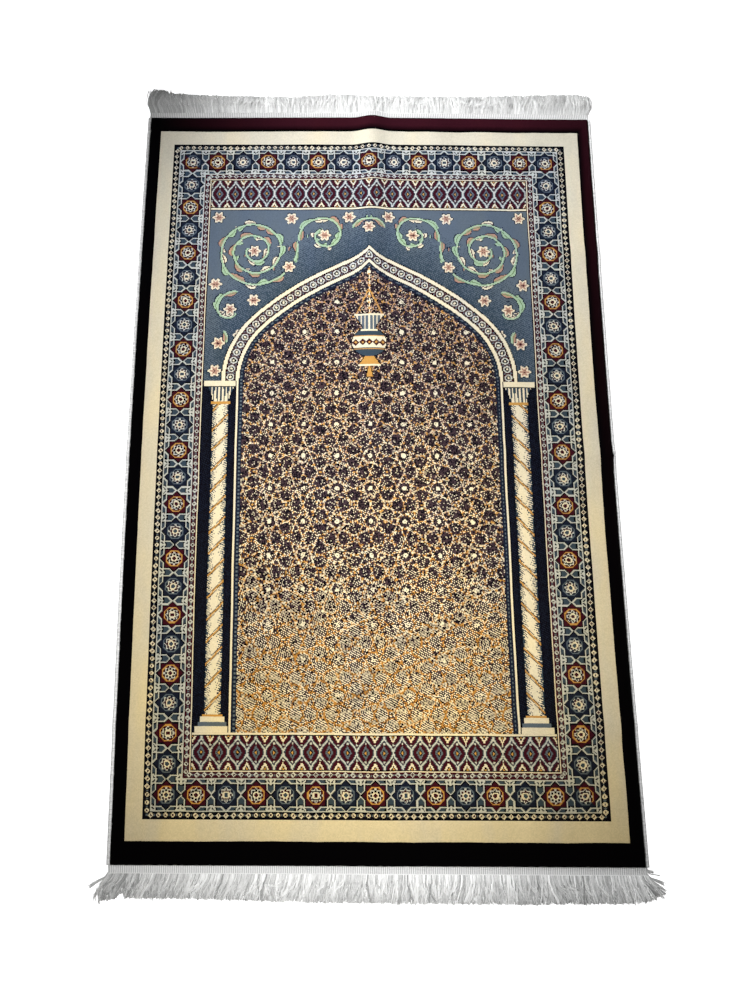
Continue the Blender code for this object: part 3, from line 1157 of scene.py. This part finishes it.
def fringe_yarns(fringe, rng):
    """The yarns of a fringe: some lie straight, side by side, and over them others bunch, lean and cross."""
    half = TAPE_HALF - STRAND_RADIUS
    x = np.linspace(-half, half, STRAND_COUNT)
    tuft = np.floor(x / TUFT_WIDTH + 0.5 * smooth_chance(rng, x, 0.02, half)).astype(int)
    tuft -= tuft.min()
    middle = (np.bincount(tuft, x) / np.maximum(1, np.bincount(tuft)))[tuft]
    tuft_lean, tuft_length, tuft_chance, tuft_curl = rng.normal(0, 1, (4, tuft.max() + 1))[:, tuft]
    tuft_layer, tuft_phase = rng.random((2, tuft.max() + 1))[:, tuft]
    _, stray, short, own_lean, own_chance, own_phase, own_layer = rng.random((7, STRAND_COUNT))
    over = (np.arange(STRAND_COUNT) * SPREAD_X % 1 < CROSSING_SHARE).astype(float)
    corner = np.clip((np.abs(x) - half + CORNER_REACH) / CORNER_REACH, 0, 1)
    loose = over * (1 - 0.6 * corner)
    bend = 0.34 * tuft_lean + 0.18 * smooth_chance(rng, x, 0.035, half) + 0.3 * (stray - 0.5)
    # painted shade: the under yarns are painted darker and the over yarns lighter; the rest of the contrast
    # is at random
    contrast = 0.26 * (over - 0.5) + (0.08 + 0.12 * over) * tuft_chance + 0.62 * (own_chance - 0.5)
    places, *columns_of_table = np.transpose(fringe.table)
    # painted shade: the table's last column darkens the yarns at the corners and across the far fringe
    lengths, leans, tip_leans, painted_shades = (np.interp(x, places, column) for column in columns_of_table)
    return Yarns(
        x=x,
        start=tape_edge(fringe.end, x)[0] + STITCH_ROW * TAPE_WIDTH,
        length=lengths * (1.01 - (0.03 + 0.15 * over) * short**2 + (0.02 + 0.06 * corner) * tuft_length),
        lean=np.radians(leans) + 0.04 * (own_lean - 0.5),
        tip_lean=np.radians(tip_leans) + 0.04 * (own_lean - 0.5),
        bend=loose * bend,
        gather=0.35 * loose * (middle - x),
        curl=0.22 * loose * tuft_curl + 0.9 * (own_chance - 0.5),
        phase=tuft_phase + 0.6 * own_phase,
        layer=over * (0.3 + 0.35 * tuft_layer + 0.25 * stray) + 0.1 * own_layer,
        width=STRAND_FLATNESS * (1.4 - 0.4 * over),
        chance=0.49 + painted_shades + fringe.contrast * contrast,
    )


def lock_yarns(fringe, lock, rng):
    """The yarns of a loose lock at a corner."""
    x = lock.side * (TAPE_HALF - 0.0015 * rng.random(lock.yarns))
    back, short, own_lean, own_bend, own_curl = rng.random((5, lock.yarns))
    lean = math.radians(lock.angle) * lock.side
    return Yarns(
        x=x,
        start=tape_edge(fringe.end, x)[0] + STITCH_ROW * TAPE_WIDTH - lock.set_back * (0.8 + 0.4 * back),
        length=lock.length * (1 - 0.25 * short),
        lean=lean + 0.22 * (own_lean - 0.5),
        tip_lean=lean + 0.1 * (own_lean - 0.5),
        bend=0.1 * (own_bend - 0.5),
        gather=0.0 * x,
        curl=0.12 * (own_curl - 0.5),
        phase=back,
        layer=0.2 + 0.3 * short,
        width=np.full_like(x, STRAND_FLATNESS),
        # painted shade: the loose locks are painted darker than the rest of the fringe
        chance=0.05 + 0.25 * own_lean,
    )


def yarn_paths(yarns, end):
    """The middle line of each yarn and its radius at each step. It turns from straight out to its lean."""
    t = np.linspace(0, 1, STRAND_STEPS) ** (0.8 + 0.5 * (yarns.phase * 3.7 % 1))
    angle = yarns.lean + (yarns.tip_lean - yarns.lean) * eased(t * 1.05)
    angle = angle * (0.3 + 0.7 * eased(t * 3)) + yarns.bend * eased((t - 0.08) / 0.5)
    wave = np.sin(2 * np.pi * (WAVES * t + yarns.phase))
    angle = angle + yarns.curl * wave * eased(t * 2.5)
    x = yarns.x + run_up(np.sin(angle), t) * yarns.length + yarns.gather * t**1.5
    out = yarns.start + run_up(np.cos(angle), t) * yarns.length
    radius = STRAND_RADIUS * (1 - STRAND_TAPER * t) * (0.8 + 0.4 * (yarns.phase * 7.3 % 1))
    root_height = tape_edge(end, yarns.x)[1] + 0.0012 + 0.0009 * yarns.layer
    hump = HUMP * yarns.layer**1.5 * np.sin(np.pi * np.clip(t * 0.85 + 0.02, 0, 1)) ** 0.8
    rest = radius + 0.0018 * yarns.layer * t
    height = root_height * (1 - t) ** 1.6 + rest * (1 - (1 - t) ** 1.6) + hump
    return stacked(x, out * end, height), radius, t * yarns.length


def yarn_rings(centre, radius, width):
    """The points round each yarn at each step of its middle line."""
    forward = np.gradient(centre, axis=1)
    forward /= np.linalg.norm(forward, axis=-1, keepdims=True)
    across = np.cross(forward, (0, 0, 1.0))
    across /= np.linalg.norm(across, axis=-1, keepdims=True)
    upward = np.cross(across, forward)
    turn = 2 * np.pi * np.arange(STRAND_SIDES) / STRAND_SIDES
    sideways = across[:, :, None] * (width[..., None] * np.cos(turn))[..., None]
    ring = sideways - upward[:, :, None] * upright(np.sin(turn))
    return centre[:, :, None] + ring * radius[:, :, None, None]


def make_strands(fringe, material):
    """The fringe: fine yarns that leave the heading side by side, bunch, cross and come down to the floor."""
    rng = np.random.default_rng(fringe.seed)
    groups = [fringe_yarns(fringe, rng)] + [lock_yarns(fringe, lock, rng) for lock in fringe.locks]
    yarns = Yarns(*(upright(np.concatenate(values)) for values in zip(*groups)))
    centre, radius, along = yarn_paths(yarns, fringe.end)
    rings = yarn_rings(centre, radius, yarns.width)
    one_yarn = skin(rings[0])[1]
    starts = np.arange(len(rings))[:, None, None] * (STRAND_STEPS * STRAND_SIDES)
    faces = []
    for part in (one_yarn[:-2], one_yarn[-2:]):  # its sides, then its two ends
        faces += (np.array(part) + starts).reshape(-1, len(part[0])).tolist()
    ring_turns = np.arange(STRAND_SIDES) / STRAND_SIDES
    cloth = stacked(along[:, :, None] / MM, ring_turns, yarns.chance[..., None])
    points = rings.reshape(-1, 3)
    piece = new_piece("strands_" + fringe.name, points, faces, cloth, [material], sharp_angle=60)
    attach(piece, "root")
    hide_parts("fringe_" + fringe.name)
    return piece


# ---- Floor, light and camera ----

PHOTO_LENS = 27.036
PHOTO_PLACE = (-0.0827, -0.2846, 1.0453)
PHOTO_TURN = (11.7, -0.05, 0.26)  # degrees
PHOTO_SHIFT = 0.0597
FLOOR_SIZE = 12.0
FLOOR_DROP = 0.0002
FLOOR_GLOW = 0.95


def make_floor():
    half = FLOOR_SIZE / 2
    corners = [(-half, -half), (half, -half), (half, half), (-half, half)]
    points = [(x, y, -FLOOR_DROP) for x, y in corners]
    material = dressed(new_material("pale_floor")[0], yarn(250, 250, 250), 0.9, 0.0)
    shader = material.node_tree.nodes["Principled BSDF"]
    shader.inputs["Emission Color"].default_value = (1, 1, 1, 1)
    shader.inputs["Emission Strength"].default_value = FLOOR_GLOW
    new_piece("studio_floor", points, [(0, 1, 2, 3)], points, [material])


Lamp = namedtuple("Lamp", "name kind place aim settings")
KEY = {"energy": 119, "color": (0.99, 1.0, 1.02), "spot_size": math.radians(82.5)}
FILL = {"energy": 81, "spot_size": math.radians(51)}
SOFT = {"spot_blend": 1, "shadow_soft_size": 0.16}
LAMPS = (
    Lamp("wash", "AREA", (0.15, -1.25, 1.15), (0.05, -0.25, 0.0), {"energy": 3, "size": 0.8}),
    Lamp("key", "SPOT", (-0.51, 0.49, 0.85), (0.34, 0.16, 0.0), KEY | SOFT),
    Lamp("fill", "SPOT", (0.29, -0.4, 1.00), (-0.12, -0.26, 0.0), FILL | SOFT),
)
WORLD_STRENGTH = 0.13


def make_lights():
    world = bpy.data.worlds.new("studio")
    world.use_nodes = True
    background = world.node_tree.nodes["Background"]
    background.inputs["Color"].default_value = (1, 1, 1, 1)
    background.inputs["Strength"].default_value = WORLD_STRENGTH
    bpy.context.scene.world = world
    for lamp in LAMPS:
        data = bpy.data.lights.new(lamp.name, lamp.kind)
        set_all(data, lamp.settings)
        light = placed(lamp.name, data)
        light.location = lamp.place
        light.visible_camera = False
        light.rotation_euler = (Vector(lamp.aim) - Vector(lamp.place)).to_track_quat("-Z", "Y").to_euler()


def make_camera():
    camera = bpy.data.cameras.new("photo")
    set_all(camera, {"lens": PHOTO_LENS, "shift_x": PHOTO_SHIFT, "clip_start": 0.01})
    eye = placed("photo", camera)
    eye.location = PHOTO_PLACE
    eye.rotation_euler = [math.radians(turn) for turn in PHOTO_TURN]
    bpy.context.scene.camera = eye
    bpy.context.scene.view_settings.view_transform = "Standard"


def main():
    make_camera()
    designs = (outer_border, main_border, panels, arch_zone, niche_zone)
    materials = [pile_material("pile_" + zone, design) for zone, design in zip(ZONES, designs)]
    pile = make_pile([*materials, backing_material()])
    side_yarn = yarn_material("side_yarn", twist_pitch=1.6, lightness=0.58, painted_shade_fade=0.0)
    sides = [
        make_side("overcast_left", -1, "side_cord_left", side_yarn),
        make_side("overcast_right", 1, "side_cord_right", side_yarn),
    ]
    heading_weave = heading_material()
    fringe_yarn = yarn_material("fringe_yarn", twist_pitch=2.4, lightness=0.865, painted_shade_fade=0.0075)
    for fringe in FRINGES:
        heading = make_heading(fringe, heading_weave)
        strands = make_strands(fringe, fringe_yarn)
    make_floor()
    make_lights()


main()
